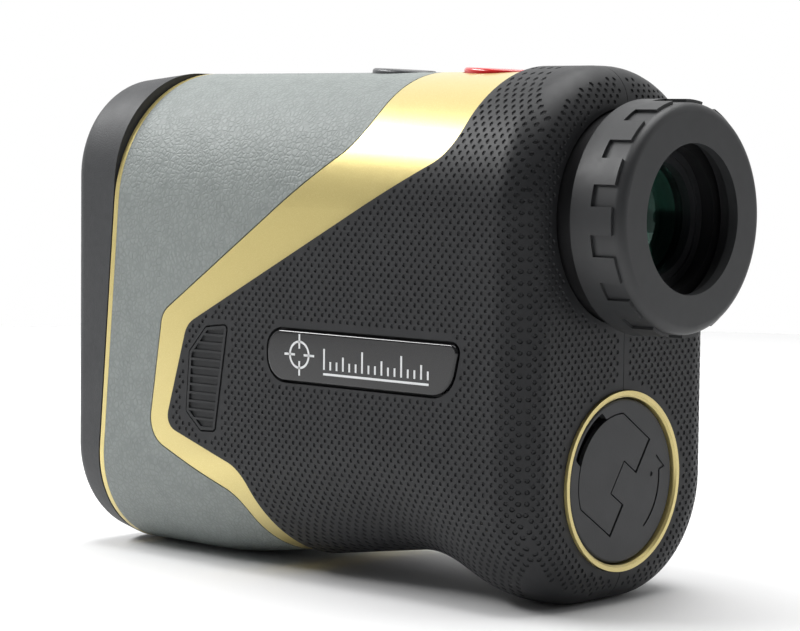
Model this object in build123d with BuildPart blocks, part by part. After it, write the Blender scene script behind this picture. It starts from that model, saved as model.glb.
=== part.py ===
"""Golf laser rangefinder, in millimetres.

X runs from the objective (front, -X) to the eyepiece (rear, +X), Y is the user's right and Z is up.
The origin is on the ground, midway between the front of the bezel and the end of the eyecup.
"""
import os
from math import cos, hypot, radians, sin

from build123d import *

os.makedirs("parts", exist_ok=True)

# ---- Body form: the outer surface of the rubber grips --------------------------------------------
front_x = -53.0
rear_x = 41.5
half_width = 21.6
top_z = 75.3
top_round = 20.5
bottom_round = 17.1
rear_round = 5.5
arch_front_x = -26.0
arch_apex = (16.5, 5.6)
arch_rear_x = 29.0
arch_front_blend = 60.0
arch_apex_blend = 22.0
arch_rear_blend = 20.0

# ---- Layers, counted inward from the grips' surface ----------------------------------------------
grip_step = 0.8         # the grips stand this proud of the sleeve and the band
skin = 1.0              # thickness of the sleeve and the band
wall = 1.4              # thickness of the housing shells
fit = 0.05              # gap between pieces that are seated or bonded together
seam = 0.2              # visible gap between neighbouring covers
parting = 0.1           # gap between the left and right halves
skin_inset = grip_step + skin
shell_inset = skin_inset + fit
inside_inset = shell_inset + wall

# ---- Front end -----------------------------------------------------------------------------------
ring_foot_x = -46.9     # front edge of the trim ring where its plane meets the ground
ring_lean = 0.0875      # how far the ring leans rearward for each millimetre up
ring_width = 0.9
ring_gap = 0.3
bezel_taper = 1.2
bezel_round = 3.0
bezel_wall = 2.2
bezel_front_wall = 3.0
bulkhead_front_x = -37.0
bulkhead_front_thick = 2.5
bezel_post_places = ((-14.5, 39.4), (14.5, 39.4), (0.0, 8.0))
post_radius = 2.2

# ---- Accent band, as outlines seen from the side -------------------------------------------------
band_front_edge = ((9.6, 90.0), (8.7, 65.0), (-31.1, 38.0), (-34.2, 18.9), (-15.5, 11.2), (-8.5, -12.0))
band_front_blends = (9.0, 3.5, 4.5, 6.0)
band_rear_edge = ((29.8, 90.0), (26.7, 63.3), (-24.8, 36.7), (-29.6, 20.9), (-13.4, 15.6), (-2.0, -12.0))
band_rear_blends = (7.0, 4.0, 2.4, 6.0)

# ---- Side details on each grip -------------------------------------------------------------------
badge_outline = ((-7.5, 29.3), (-7.5, 37.4), (30.6, 37.4), (28.6, 29.3))
badge_blends = (3.8, 3.2, 1.6, 4.6)
badge_proud = 0.25
badge_gap = 0.4
insert_outline = ((-15.6, 37.2), (-20.5, 36.6), (-24.2, 32.6), (-24.9, 23.4), (-21.6, 20.6), (-18.3, 20.8))
insert_blend = 0.8
insert_rib_count = 13
insert_gap = 0.25
insert_rim = 0.7        # plain border round the ribs
insert_proud = 0.1
insert_rib_width = 0.35
insert_valley_depth = 0.3
side_pocket = 1.0

# ---- Buttons -------------------------------------------------------------------------------------
fire_button_x = 18.4
fire_button_size = (12.0, 8.8)
mode_button_x = -0.5
mode_button_size = (11.0, 7.8)
button_gap = 0.25
button_travel = 0.6
button_rise_front = 0.8
button_rise_rear = 0.15
flange_rim = 0.8
flange_thick = 0.8
flange_top_z = top_z - 4.1
board_thick = 0.8
button_board_z = top_z - 8.8
button_board_size = (34.0, 18.0)
button_board_x = 9.0
switch_size = (5.2, 5.2, 1.2)
plunger_radius = 1.2
plunger_height = 0.4
seal_sheet = 0.4
seal_nub_radius = 2.0
board_boss_places = ((-5.5, 7.0), (23.5, 7.0), (-5.5, -7.0), (23.5, -7.0))
board_boss_radius = 1.5

# ---- Sighting optics -----------------------------------------------------------------------------
eye_axis_z = top_z - 20.9
neck_radius = 14.9
neck_end_x = 44.4
spigot_radius = 12.3
spigot_end_x = 49.0
eye_bore_radius = 10.2
eye_tube_radius = 11.6
eye_tube_front_x = 12.0
running_fit = 0.08
focus_ring_radius = 14.2
eyecup_front_x = 44.7
eyecup_end_x = 53.0
eyecup_base_radius = 16.3
eyecup_rim_radius = 15.85
eyecup_base_length = 3.4
eyecup_tooth_length = 3.5
eyecup_tooth_count = 15
eyecup_window_width = 3.0
eyecup_opening = 10.35
eyecup_lip = 1.5
cell_front_x = 30.0
cell_rear_x = 47.0
cell_bore_radius = 8.2
eye_lens_x = 42.0
eye_lens_thick = 3.2
retainer_thick = 1.4
retainer_wall = 1.1
objective_radius = 13.2
objective_bore = 12.1
objective_front_x = -50.0
objective_rear_x = -17.0
prism_box = (-14.0, 9.0)
prism_box_half_width = 10.0
prism_box_top = eye_axis_z + 11.0
prism_box_wall = 1.2
prism_window = 7.5
prism_half_width = 8.3
prism_low, prism_high = eye_axis_z - 8.4, eye_axis_z + 8.2
roof_prism_outline = ((-12.4, prism_low), (-4.2, prism_low), (0.4, prism_high), (-12.4, prism_high))
half_prism_outline = ((-3.4, prism_low), (7.4, prism_low), (7.4, prism_high), (1.2, prism_high))
display_half = 6.5
display_thick = 1.3
seal_groove_span = (45.3, 46.5)     # the focus seal's groove round the spigot
seal_ring_section = 0.33

# ---- Receiver and laser --------------------------------------------------------------------------
receiver_axis_z = 25.0
receiver_radius = 11.6
receiver_bore = 10.4
receiver_rear_x = -19.0
receiver_board_half = 10.0
photodiode_radius = 2.4
photodiode_length = 3.5
laser_x = -3.0
laser_radius = 2.8
laser_board_half = (7.0, 6.0)

# ---- Chassis and main board ----------------------------------------------------------------------
bulkhead_rear_x = 35.0
bulkhead_rear_thick = 1.8
tray_z = eye_axis_z - 15.8
tray_thick = 2.0
tray_half_width = 9.0
main_board_y = 14.2
main_board_span = (-28.0, 25.2)
main_board_height = (16.8, tray_z + 8.4)
main_board_screws = ((-25.0, tray_z + 1.0), (22.5, tray_z + 1.0))
chips = ((-12, 30, 9, 9), (3, 34, 6, 6), (4, 23, 7, 4), (-16, 21, 4, 3))    # middle, width and height
chip_thick = 1.1
flex_width = 8.0
flex_thick = 0.25

# ---- Battery and its cap -------------------------------------------------------------------------
battery_axis_z = 17.45
battery_radius = 7.8
battery_length = 27.0
battery_front_x = 9.0
battery_play = 0.35
battery_wall = 0.9
battery_tube_front_x = 4.0
battery_button_radius = 3.0
cap_contact_radius = 5.5
spring_turns = 3.0
spring_radius = 4.5
spring_wire_radius = 0.3
mouth_radius = 9.9
mouth_front_x = 34.2
cap_ring_radius = 12.7
cap_ring_inner = 11.8
cap_ring_proud = 0.45
cap_radius = 11.55
cap_face_x = 41.4
cap_spigot_radius = 9.8
cap_inner_x = 37.2
cap_skirt_front_x = 34.6
hinge_angle = 56.0      # the flap's hinge line, turned from +Y towards +Z
hinge_n = 1.2
hinge_depth = 0.85
pin_radius = 0.45
flap_thick = 1.6
flap_radius = 9.4
flap_reach = 2.0
flap_notch_n = -1.15
flap_notch_s = 2.7
flap_upper_s = 7.9
flap_lower_s = -7.5
flap_gap = 0.2
flap_end_gap = 0.4
finger_place = (-9.0, 1.4)
finger_radius = 4.2
seal_groove_x = 37.9
seal_groove_width = 0.9
seal_groove_depth = 0.75
arrow_radius = 8.6      # the engraved turning arrow, in the cap's face
arrow_span = (-53.0, 6.0)
arrow_barb = (9.6, 1.3)
arrow_tip = (7.9, 2.9)
arrow_dot = (6.8, 0.4)
arrow_width = 0.35
mark_depth = 0.2

# ---- Fasteners -----------------------------------------------------------------------------------
screw_head_radius = 1.5
screw_head_height = 0.9
screw_shank_radius = 0.8
screw_clear_radius = 0.95
screw_pilot_radius = 0.83
housing_post_places = (
    (-30.0, 8.5), (-6.0, 14.0), (28.0, 32.5), (-11.5, top_z - 6.7), (31.0, top_z - 6.7))
housing_screw_seat = 11.0
housing_screw_length = 16.0
bezel_screw_length = 7.0
main_board_screw_length = 5.0
button_board_screw_length = 3.4


on_base = (Align.CENTER, Align.CENTER, Align.MIN)


def keep(piece, name):
    """Label a finished piece and write it under its own name."""
    piece.part.label = name
    export_step(piece.part, f"parts/{name}.step")


def bar(centre_z, start, end, radius, mode=Mode.ADD, centre_y=0.0):
    """Round bar along X, added to or cut from the open part."""
    with Locations(Location(((start + end) / 2, centre_y, centre_z), (0, 90, 0))):
        Cylinder(radius, end - start, mode=mode)


def block(low, high, mode=Mode.ADD):
    """Square block between two corners, added to or cut from the open part."""
    middle = tuple((a + b) / 2 for a, b in zip(low, high))
    with Locations(middle):
        Box(high[0] - low[0], high[1] - low[1], high[2] - low[2], mode=mode)


def screw(length):
    """Pan-head screw with its seat at the origin and its shank along -Z."""
    with BuildPart() as made:
        Cylinder(screw_head_radius, screw_head_height, align=on_base)
        fillet(made.edges().group_by(Axis.Z)[-1], 0.3)
        Cylinder(screw_shank_radius, length, align=(Align.CENTER, Align.CENTER, Align.MAX))
        with BuildSketch(Plane.XY.offset(screw_head_height)):
            Rectangle(1.5, 0.4)
            Rectangle(0.4, 1.5)
        extrude(amount=-0.45, mode=Mode.SUBTRACT)
    return made.part


# ---- Body form and the side outlines that divide it ----------------------------------------------
def body_form(inset):
    """Closed form of the body, moved in by inset all over; it runs on past the front end."""
    with BuildPart() as form:
        with BuildSketch(Plane.XZ):
            with BuildLine():
                FilletPolyline(
                    (front_x - 8, -grip_step), (arch_front_x, -grip_step), arch_apex,
                    (arch_rear_x, 0), (rear_x, 0),
                    radius=(arch_front_blend, arch_apex_blend, arch_rear_blend),
                )
                Polyline((rear_x, 0), (rear_x, top_z), (front_x - 8, top_z), (front_x - 8, -grip_step))
            make_face()
            if inset > 0:
                offset(amount=-inset, kind=Kind.INTERSECTION)
        extrude(amount=half_width - inset, both=True)
        side_edges = form.faces().filter_by(Axis.Y).edges()
        fillet(side_edges.filter_by(lambda edge: edge.center().Z > top_z - inset - 0.01), top_round - inset)
        side_edges = form.faces().filter_by(Axis.Y).edges()
        low_edges = side_edges.filter_by(lambda edge: edge.center().Z < arch_apex[1] + inset + 0.5)
        fillet(low_edges, bottom_round - inset)
        fillet(form.faces().sort_by(Axis.X)[-1].edges(), rear_round - inset)
    return form.part


def side_region(path, blends, growth):
    """Everything behind an edge path seen from the side, grown by a distance, as a deep prism."""
    with BuildPart() as region:
        with BuildSketch(Plane.XZ):
            with BuildLine():
                FilletPolyline(*path, radius=blends)
                Polyline(path[-1], (rear_x + 30, path[-1][1]), (rear_x + 30, path[0][1]), path[0])
            make_face()
            offset(amount=growth, kind=Kind.INTERSECTION)
        extrude(amount=half_width + 5, both=True)
    return region.part


def behind_ring(shift):
    """Everything behind the leaning plane of the trim ring, moved rearward by shift."""
    low, high = -20.0, top_z + 20.0
    with BuildPart() as region:
        with BuildSketch(Plane.XZ):
            with BuildLine():
                Polyline(
                    (ring_foot_x + ring_lean * low + shift, low), (rear_x + 30, low),
                    (rear_x + 30, high), (ring_foot_x + ring_lean * high + shift, high), close=True,
                )
            make_face()
        extrude(amount=half_width + 5, both=True)
    return region.part


grip_form = body_form(0)
cover_form = body_form(grip_step)
seat_form = body_form(skin_inset)
shell_form = body_form(shell_inset)
inside_form = body_form(inside_inset)
chassis_form = body_form(inside_inset + 0.1)
behind_sleeve = side_region(band_front_edge, band_front_blends, seam / 2)
band_and_grips = side_region(band_front_edge, band_front_blends, -seam / 2)
behind_band = side_region(band_rear_edge, band_rear_blends, seam / 2)
grips_only = side_region(band_rear_edge, band_rear_blends, -seam / 2)


def button_hole(centre_x, size, mode=Mode.SUBTRACT):
    """Oval hole through the top covers for a button."""
    with BuildSketch(Plane.XY.offset(flange_top_z - 1)) as oval:
        with Locations((centre_x, 0)):
            Ellipse(size[0] / 2 + button_gap, size[1] / 2 + button_gap)
    extrude(oval.sketch, amount=12, mode=mode)


# ---- Covers: sleeve, accent band and trim ring ---------------------------------------------------
with BuildPart() as front_sleeve:
    add(cover_form)
    add(seat_form, mode=Mode.SUBTRACT)
    add(behind_sleeve, mode=Mode.SUBTRACT)
    add(behind_ring(ring_width + fit), mode=Mode.INTERSECT)
    button_hole(mode_button_x, mode_button_size)
keep(front_sleeve, "front_sleeve")

with BuildPart() as accent_band:
    add(cover_form)
    add(seat_form, mode=Mode.SUBTRACT)
    add(band_and_grips, mode=Mode.INTERSECT)
    add(behind_band, mode=Mode.SUBTRACT)
    button_hole(fire_button_x, fire_button_size)
keep(accent_band, "accent_band")

with BuildPart() as front_trim_ring:
    add(cover_form)
    add(inside_form, mode=Mode.SUBTRACT)
    add(behind_ring(0), mode=Mode.INTERSECT)
    add(behind_ring(ring_width), mode=Mode.SUBTRACT)
keep(front_trim_ring, "front_trim_ring")

# ---- Rubber grips with their side badges and grip inserts ----------------------------------------
side_plane = Plane.XZ.offset(half_width - side_pocket)


def side_plate(outline, blends, shrink, thick, mode=Mode.ADD):
    """Plate of a closed rounded outline, standing on the pocket floor of the left side."""
    with BuildSketch(side_plane) as plate:
        with BuildLine():
            FilletPolyline(*outline, radius=blends, close=True)
        make_face()
        if shrink > 0:
            offset(amount=-shrink, kind=Kind.INTERSECTION)
    extrude(plate.sketch, amount=thick, mode=mode)


with BuildPart() as left_grip:
    add(grip_form)
    add(seat_form, mode=Mode.SUBTRACT)
    add(grips_only, mode=Mode.INTERSECT)
    block((-60, -parting / 2, -5), (60, 40, 90), mode=Mode.SUBTRACT)
    bar(eye_axis_z, 30, 50, neck_radius + 0.3, mode=Mode.SUBTRACT)
    bar(battery_axis_z, 30, 50, cap_ring_radius + 0.1, mode=Mode.SUBTRACT)
    side_plate(badge_outline, badge_blends, 0, 5, mode=Mode.SUBTRACT)
    side_plate(insert_outline, insert_blend, 0, 5, mode=Mode.SUBTRACT)
keep(left_grip, "left_grip")

with BuildPart() as left_name_badge:
    side_plate(badge_outline, badge_blends, badge_gap, side_pocket + badge_proud)
    fillet(left_name_badge.faces().sort_by(Axis.Y)[0].edges(), 0.35)
keep(left_name_badge, "left_name_badge")

insert_low = min(z for _, z in insert_outline)
insert_high = max(z for _, z in insert_outline)
rib_pitch = (insert_high - insert_low) / insert_rib_count
with BuildPart() as insert_valleys:
    side_plate(insert_outline, insert_blend, insert_rim, 5)
    block((-60, insert_valley_depth - half_width - insert_proud, -5), (60, 0, 90), mode=Mode.SUBTRACT)
    for rib in range(insert_rib_count):
        rib_z = insert_low + (rib + 0.5) * rib_pitch
        block(
            (-60, -30, rib_z - insert_rib_width / 2), (60, 0, rib_z + insert_rib_width / 2),
            mode=Mode.SUBTRACT)
with BuildPart() as left_grip_insert:
    side_plate(insert_outline, insert_blend, insert_gap, side_pocket + insert_proud)
    add(insert_valleys.part, mode=Mode.SUBTRACT)
keep(left_grip_insert, "left_grip_insert")

for left_piece, name in (
    (left_grip, "right_grip"),
    (left_name_badge, "right_name_badge"),
    (left_grip_insert, "right_grip_insert"),
):
    with BuildPart() as right_piece:
        mirror(left_piece.part, about=Plane.XZ)
    keep(right_piece, name)


# ---- Housing halves: inner shells with screw posts and bosses for the button board ---------------
def housing_half(side):
    """One half of the housing; side is -1 for left and +1 for right."""
    cut_low, cut_high = sorted((side * parting / 2, -side * 40))
    with BuildPart() as half:
        add(shell_form)
        add(inside_form, mode=Mode.SUBTRACT)
        for x, z in housing_post_places:
            with Locations(Location((x, side * half_width / 2, z), (90, 0, 0))):
                Cylinder(post_radius, half_width)
        for x, y in board_boss_places:
            with Locations((x, y, button_board_z + board_thick)):
                Cylinder(board_boss_radius, 8, align=on_base)
        add(shell_form, mode=Mode.INTERSECT)
        add(behind_ring(ring_width + fit), mode=Mode.INTERSECT)
        block((-60, cut_low, -5), (60, cut_high, 90), mode=Mode.SUBTRACT)
        bar(eye_axis_z, 30, 50, neck_radius + 0.15, mode=Mode.SUBTRACT)
        bar(battery_axis_z, 30, 50, cap_ring_inner, mode=Mode.SUBTRACT)
        button_hole(mode_button_x, mode_button_size)
        button_hole(fire_button_x, fire_button_size)
        for x, y in board_boss_places:
            with Locations((x, y, button_board_z)):
                Cylinder(screw_pilot_radius, 3.5, align=on_base, mode=Mode.SUBTRACT)
        for x, z in housing_post_places:
            bore = screw_clear_radius if side < 0 else screw_pilot_radius
            depth = housing_screw_seat if side < 0 else housing_screw_length - housing_screw_seat + 0.5
            with Locations(Location((x, side * depth / 2, z), (90, 0, 0))):
                Cylinder(bore, depth + 0.2, mode=Mode.SUBTRACT)
            if side < 0:
                with Locations(Location((x, -housing_screw_seat - 10, z), (90, 0, 0))):
                    Cylinder(screw_head_radius + 0.15, 20, mode=Mode.SUBTRACT)
    return half


left_housing = housing_half(-1)
keep(left_housing, "left_housing")
right_housing = housing_half(1)
keep(right_housing, "right_housing")

with BuildPart() as housing_screws:
    for x, z in housing_post_places:
        with Locations(Location((x, -housing_screw_seat, z), (90, 0, 0))):
            add(screw(housing_screw_length))
keep(housing_screws, "housing_screws")


# ---- Front bezel: a tapered nose shell with two windows and three screw posts --------------------
def nose_outline(plane, inset, stretch):
    """Rounded outline of the body's section at the front, on a plane whose origin is at ground level."""
    low, high, side = inset - grip_step, top_z - inset, half_width - inset
    with BuildSketch(plane) as outline:
        with BuildLine():
            FilletPolyline(
                (-side, low * stretch), (side, low * stretch), (side, high * stretch), (-side, high * stretch),
                radius=(bottom_round - inset, top_round - inset, top_round - inset, bottom_round - inset),
                close=True,
            )
        make_face()
    return outline.sketch


def nose_form(inset, front_wall):
    """Solid from the leaning ring plane forward to the front face, moved in by inset."""
    lean_length = hypot(1, ring_lean)
    ring_plane = Plane(
        origin=(ring_foot_x - ring_gap, 0, 0), x_dir=(0, 1, 0), z_dir=(1, 0, -ring_lean))
    with BuildPart() as nose:
        add(nose_outline(ring_plane, inset, lean_length))
        add(nose_outline(Plane.YZ.offset(front_x + front_wall), inset + bezel_taper, 1))
        loft()
    return nose.part


objective_places = ((eye_axis_z, objective_bore), (receiver_axis_z, receiver_bore))
with BuildPart() as front_bezel:
    add(nose_form(grip_step, 0))
    fillet(front_bezel.faces().sort_by(Axis.X)[0].edges(), bezel_round)
    add(nose_form(grip_step + bezel_wall, bezel_front_wall), mode=Mode.SUBTRACT)
    for y, z in bezel_post_places:
        bar(z, front_x + 2, bulkhead_front_x - fit, post_radius, centre_y=y)
        bar(z, front_x + 2.5, bulkhead_front_x, screw_pilot_radius, mode=Mode.SUBTRACT, centre_y=y)
    for z, bore in objective_places:
        bar(z, front_x - 1, front_x + 5, bore - 0.3, mode=Mode.SUBTRACT)
        with Locations(Location((front_x + 0.75, 0, z), (0, 90, 0))):
            Cone(bore + 1.0, bore - 0.3, 1.5, mode=Mode.SUBTRACT)
keep(front_bezel, "front_bezel")

with BuildPart() as bezel_screws:
    for y, z in bezel_post_places:
        with Locations(Location((bulkhead_front_x + bulkhead_front_thick, y, z), (0, 90, 0))):
            add(screw(bezel_screw_length))
keep(bezel_screws, "bezel_screws")


# ---- Optical chassis: two bulkheads joined by a tray under the prism -----------------------------
laser_board_z = tray_z - 3.6
with BuildPart() as optical_chassis:
    block((bulkhead_front_x, -30, -5), (bulkhead_front_x + bulkhead_front_thick, 30, 90))
    block((bulkhead_rear_x, -30, -5), (bulkhead_rear_x + bulkhead_rear_thick, 30, 90))
    add(chassis_form, mode=Mode.INTERSECT)
    block(
        (bulkhead_front_x, -tray_half_width, tray_z),
        (bulkhead_rear_x + bulkhead_rear_thick, tray_half_width, tray_z + tray_thick))
    for x, z in main_board_screws:
        block((x - 2, 0, tray_z), (x + 2, main_board_y - fit, tray_z + tray_thick))
        with Locations(Location((x, main_board_y - 3, z), (90, 0, 0))):
            Cylinder(screw_pilot_radius, 6.2, mode=Mode.SUBTRACT)
    bar(eye_axis_z, -40, 0, objective_radius + fit, mode=Mode.SUBTRACT)
    bar(receiver_axis_z, -40, 0, receiver_radius + fit, mode=Mode.SUBTRACT)
    bar(eye_axis_z, 20, 40, eye_tube_radius + fit, mode=Mode.SUBTRACT)
    bar(battery_axis_z, 20, 40, mouth_radius + battery_wall + fit, mode=Mode.SUBTRACT)
    for y, z in bezel_post_places:
        bar(z, -40, -30, screw_clear_radius, mode=Mode.SUBTRACT, centre_y=y)
    with Locations((laser_x, 0, tray_z)):
        Cylinder(laser_radius + 0.1, 20, mode=Mode.SUBTRACT)
keep(optical_chassis, "optical_chassis")

# ---- Objective group -----------------------------------------------------------------------------
objective_lens_x = objective_front_x + 2.4
objective_lens_thick = 4.5
lens_rim = 1.5          # flat edge of each lens, where its seat and retainer hold it
objective_rim_radius = objective_bore - 0.05
with BuildPart() as objective_barrel:
    bar(eye_axis_z, objective_front_x, objective_rear_x, objective_radius)
    bar(
        eye_axis_z, objective_front_x - 1, objective_lens_x + objective_lens_thick, objective_bore,
        mode=Mode.SUBTRACT)
    bar(eye_axis_z, objective_front_x, objective_rear_x + 1, objective_bore - 1.4, mode=Mode.SUBTRACT)
keep(objective_barrel, "objective_barrel")


def dome(flat_x, bulge, radius, height):
    """Place along X of a dome's surface at a height above the axis; a positive bulge points to +X."""
    curve = (radius**2 + bulge**2) / (2 * abs(bulge))
    rise = abs(bulge) - curve + (curve**2 - height**2) ** 0.5
    return flat_x + (rise if bulge > 0 else -rise)


def lens(front, thick, radius, bulge_front, bulge_rear, centre_z):
    """Lens turned about the X axis at centre_z; each bulge is measured along +X at the middle."""
    rear = front + thick
    clear = radius - lens_rim
    with BuildPart() as made:
        with BuildSketch(Plane.XZ):
            with BuildLine():
                ThreePointArc(*(
                    (dome(front, bulge_front, clear, h), centre_z + h) for h in (0, clear / 2, clear)))
                Polyline(
                    (front, centre_z + clear), (front, centre_z + radius),
                    (rear, centre_z + radius), (rear, centre_z + clear))
                ThreePointArc(*(
                    (dome(rear, bulge_rear, clear, h), centre_z + h) for h in (clear, clear / 2, 0)))
                Line((rear + bulge_rear, centre_z), (front + bulge_front, centre_z))
            make_face()
        revolve(axis=Axis((0, 0, centre_z), (1, 0, 0)))
    return made


objective_lens = lens(
    objective_lens_x, objective_lens_thick - 0.1, objective_rim_radius, -1.2, 0.9, eye_axis_z)
keep(objective_lens, "objective_lens")

with BuildPart() as objective_retainer:
    bar(eye_axis_z, objective_front_x + 0.2, objective_lens_x - 0.05, objective_rim_radius)
    bar(
        eye_axis_z, objective_front_x - 1, objective_lens_x, objective_rim_radius - retainer_wall,
        mode=Mode.SUBTRACT)
keep(objective_retainer, "objective_retainer")

# ---- Prism group on the tray ---------------------------------------------------------------------
prism_floor_z = tray_z + tray_thick + fit
prism_front, prism_rear = prism_box
with BuildPart() as prism_housing:
    block(
        (prism_front, -prism_box_half_width, prism_floor_z),
        (prism_rear, prism_box_half_width, prism_box_top))
    block(
        (prism_front + prism_box_wall, prism_box_wall - prism_box_half_width, prism_floor_z + prism_box_wall),
        (prism_rear - prism_box_wall, prism_box_half_width - prism_box_wall, prism_box_top - prism_box_wall),
        mode=Mode.SUBTRACT)
    bar(eye_axis_z, prism_front - 1, prism_rear + 1, prism_window, mode=Mode.SUBTRACT)
    with Locations((laser_x, 0, prism_floor_z)):
        Cylinder(laser_radius - 0.6, 8, mode=Mode.SUBTRACT)
keep(prism_housing, "prism_housing")

for outline, name in ((roof_prism_outline, "roof_prism"), (half_prism_outline, "beam_splitter_prism")):
    with BuildPart() as prism:
        with BuildSketch(Plane.XZ):
            with BuildLine():
                Polyline(*outline, close=True)
            make_face()
        extrude(amount=prism_half_width, both=True)
        chamfer(prism.edges().filter_by(Axis.Y), 0.5)
    keep(prism, name)

# ---- Eyepiece: fixed tube, sliding lens cell, focus ring and rubber eyecup -----------------------
with BuildPart() as eyepiece_tube:
    bar(eye_axis_z, eye_tube_front_x, neck_end_x, eye_tube_radius)
    bar(eye_axis_z, bulkhead_rear_x + bulkhead_rear_thick + fit, neck_end_x, neck_radius)
    bar(eye_axis_z, neck_end_x, spigot_end_x, spigot_radius)
    bar(eye_axis_z, eye_tube_front_x + 6, spigot_end_x + 1, eye_bore_radius, mode=Mode.SUBTRACT)
    bar(eye_axis_z, eye_tube_front_x - 1, spigot_end_x, eye_bore_radius - 1.2, mode=Mode.SUBTRACT)
    bar(eye_axis_z, *seal_groove_span, spigot_radius + 1, mode=Mode.SUBTRACT)
    bar(eye_axis_z, *seal_groove_span, spigot_radius - 2 * seal_ring_section - 0.04)
    bar(eye_axis_z, seal_groove_span[0] - 1, seal_groove_span[1] + 1, eye_bore_radius, mode=Mode.SUBTRACT)
keep(eyepiece_tube, "eyepiece_tube")

field_lens = lens(eye_tube_front_x + 6.1, 3.0, eye_bore_radius - 0.05, 0.3, 0.9, eye_axis_z)
keep(field_lens, "field_lens")

with BuildPart() as display:
    display_x = eye_tube_front_x - 0.6
    block(
        (display_x - display_thick, -display_half, eye_axis_z - display_half),
        (display_x, display_half, eye_axis_z + display_half))
    chamfer(display.edges().filter_by(Axis.X), 0.6)
keep(display, "display")

cell_radius = eye_bore_radius - running_fit
with BuildPart() as lens_cell:
    bar(eye_axis_z, cell_front_x, cell_rear_x, cell_radius)
    bar(eye_axis_z, eye_lens_x, cell_rear_x + 1, cell_bore_radius + 0.9, mode=Mode.SUBTRACT)
    bar(eye_axis_z, cell_front_x - 1, cell_rear_x, cell_bore_radius - 0.6, mode=Mode.SUBTRACT)
keep(lens_cell, "lens_cell")

eye_lens_radius = cell_bore_radius + 0.85
eye_lens = lens(eye_lens_x + 0.05, eye_lens_thick, eye_lens_radius, -0.9, 0.9, eye_axis_z)
keep(eye_lens, "eye_lens")

with BuildPart() as cell_retainer:
    retainer_x = eye_lens_x + eye_lens_thick + 0.1
    bar(eye_axis_z, retainer_x, retainer_x + retainer_thick, eye_lens_radius)
    bar(eye_axis_z, retainer_x - 1, retainer_x + 3, eye_lens_radius - retainer_wall, mode=Mode.SUBTRACT)
keep(cell_retainer, "cell_retainer")

with BuildPart() as focus_seal:
    with Locations(Location((sum(seal_groove_span) / 2, 0, eye_axis_z), (0, 90, 0))):
        Torus(spigot_radius - seal_ring_section, seal_ring_section)
keep(focus_seal, "focus_seal")

focus_bore = spigot_radius + running_fit
with BuildPart() as focus_ring:
    bar(eye_axis_z, eyecup_front_x, eyecup_end_x - eyecup_lip - fit, focus_ring_radius)
    bar(eye_axis_z, eyecup_front_x - 1, spigot_end_x + 0.3, focus_bore, mode=Mode.SUBTRACT)
    bar(eye_axis_z, spigot_end_x, eyecup_end_x, eyecup_opening + 1.1, mode=Mode.SUBTRACT)
keep(focus_ring, "focus_ring")

with BuildPart() as eyecup:
    tooth_x = eyecup_front_x + eyecup_base_length
    bar(eye_axis_z, eyecup_front_x, eyecup_end_x, eyecup_rim_radius)
    fillet(eyecup.edges().sort_by(Axis.X)[-1], 1.3)
    bar(eye_axis_z, eyecup_front_x, tooth_x, eyecup_base_radius)
    with BuildSketch(Plane(origin=(tooth_x, 0, eye_axis_z), x_dir=(0, 1, 0), z_dir=(1, 0, 0))):
        Circle(eyecup_base_radius)
        Circle(eyecup_rim_radius - 0.5, mode=Mode.SUBTRACT)
        with PolarLocations(eyecup_base_radius, eyecup_tooth_count):
            Rectangle(4, eyecup_window_width, mode=Mode.SUBTRACT)
    extrude(amount=eyecup_tooth_length)
    bar(
        eye_axis_z, eyecup_front_x - 1, eyecup_end_x - eyecup_lip, focus_ring_radius + fit,
        mode=Mode.SUBTRACT)
    bar(eye_axis_z, eyecup_front_x, eyecup_end_x + 1, eyecup_opening, mode=Mode.SUBTRACT)
keep(eyecup, "eyecup")

# ---- Laser receiver ------------------------------------------------------------------------------
receiver_lens_x = objective_front_x + 2.0
receiver_lens_thick = 4.0
receiver_rim_radius = receiver_bore - 0.05
with BuildPart() as receiver_barrel:
    bar(receiver_axis_z, objective_front_x, receiver_rear_x, receiver_radius)
    bar(
        receiver_axis_z, objective_front_x - 1, receiver_lens_x + receiver_lens_thick, receiver_bore,
        mode=Mode.SUBTRACT)
    bar(receiver_axis_z, objective_front_x, receiver_rear_x + 1, receiver_bore - 1.3, mode=Mode.SUBTRACT)
keep(receiver_barrel, "receiver_barrel")

receiver_lens = lens(
    receiver_lens_x, receiver_lens_thick - 0.1, receiver_rim_radius, -1.2, -0.3, receiver_axis_z)
keep(receiver_lens, "receiver_lens")

with BuildPart() as receiver_retainer:
    bar(receiver_axis_z, objective_front_x + 0.2, receiver_lens_x - 0.05, receiver_rim_radius)
    bar(
        receiver_axis_z, objective_front_x - 1, receiver_lens_x, receiver_rim_radius - retainer_wall,
        mode=Mode.SUBTRACT)
keep(receiver_retainer, "receiver_retainer")

receiver_board_x = receiver_rear_x + fit
with BuildPart() as receiver_board:
    board_half = receiver_board_half
    block(
        (receiver_board_x, -board_half, receiver_axis_z - board_half),
        (receiver_board_x + board_thick, board_half, receiver_axis_z + board_half))
    fillet(receiver_board.edges().filter_by(Axis.X), 2)
keep(receiver_board, "receiver_board")

with BuildPart() as photodiode:
    bar(receiver_axis_z, receiver_rear_x - photodiode_length, receiver_rear_x, photodiode_radius)
    bar(receiver_axis_z, receiver_rear_x - 0.6, receiver_rear_x, photodiode_radius + 0.4)
keep(photodiode, "photodiode")

# ---- Laser emitter below the beam splitter -------------------------------------------------------
with BuildPart() as laser_diode:
    with Locations((laser_x, 0, laser_board_z + board_thick + fit)):
        Cylinder(laser_radius, 1.2, align=on_base)
        Cylinder(laser_radius - 0.5, prism_floor_z - laser_board_z - 1, align=on_base)
keep(laser_diode, "laser_diode")

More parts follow.
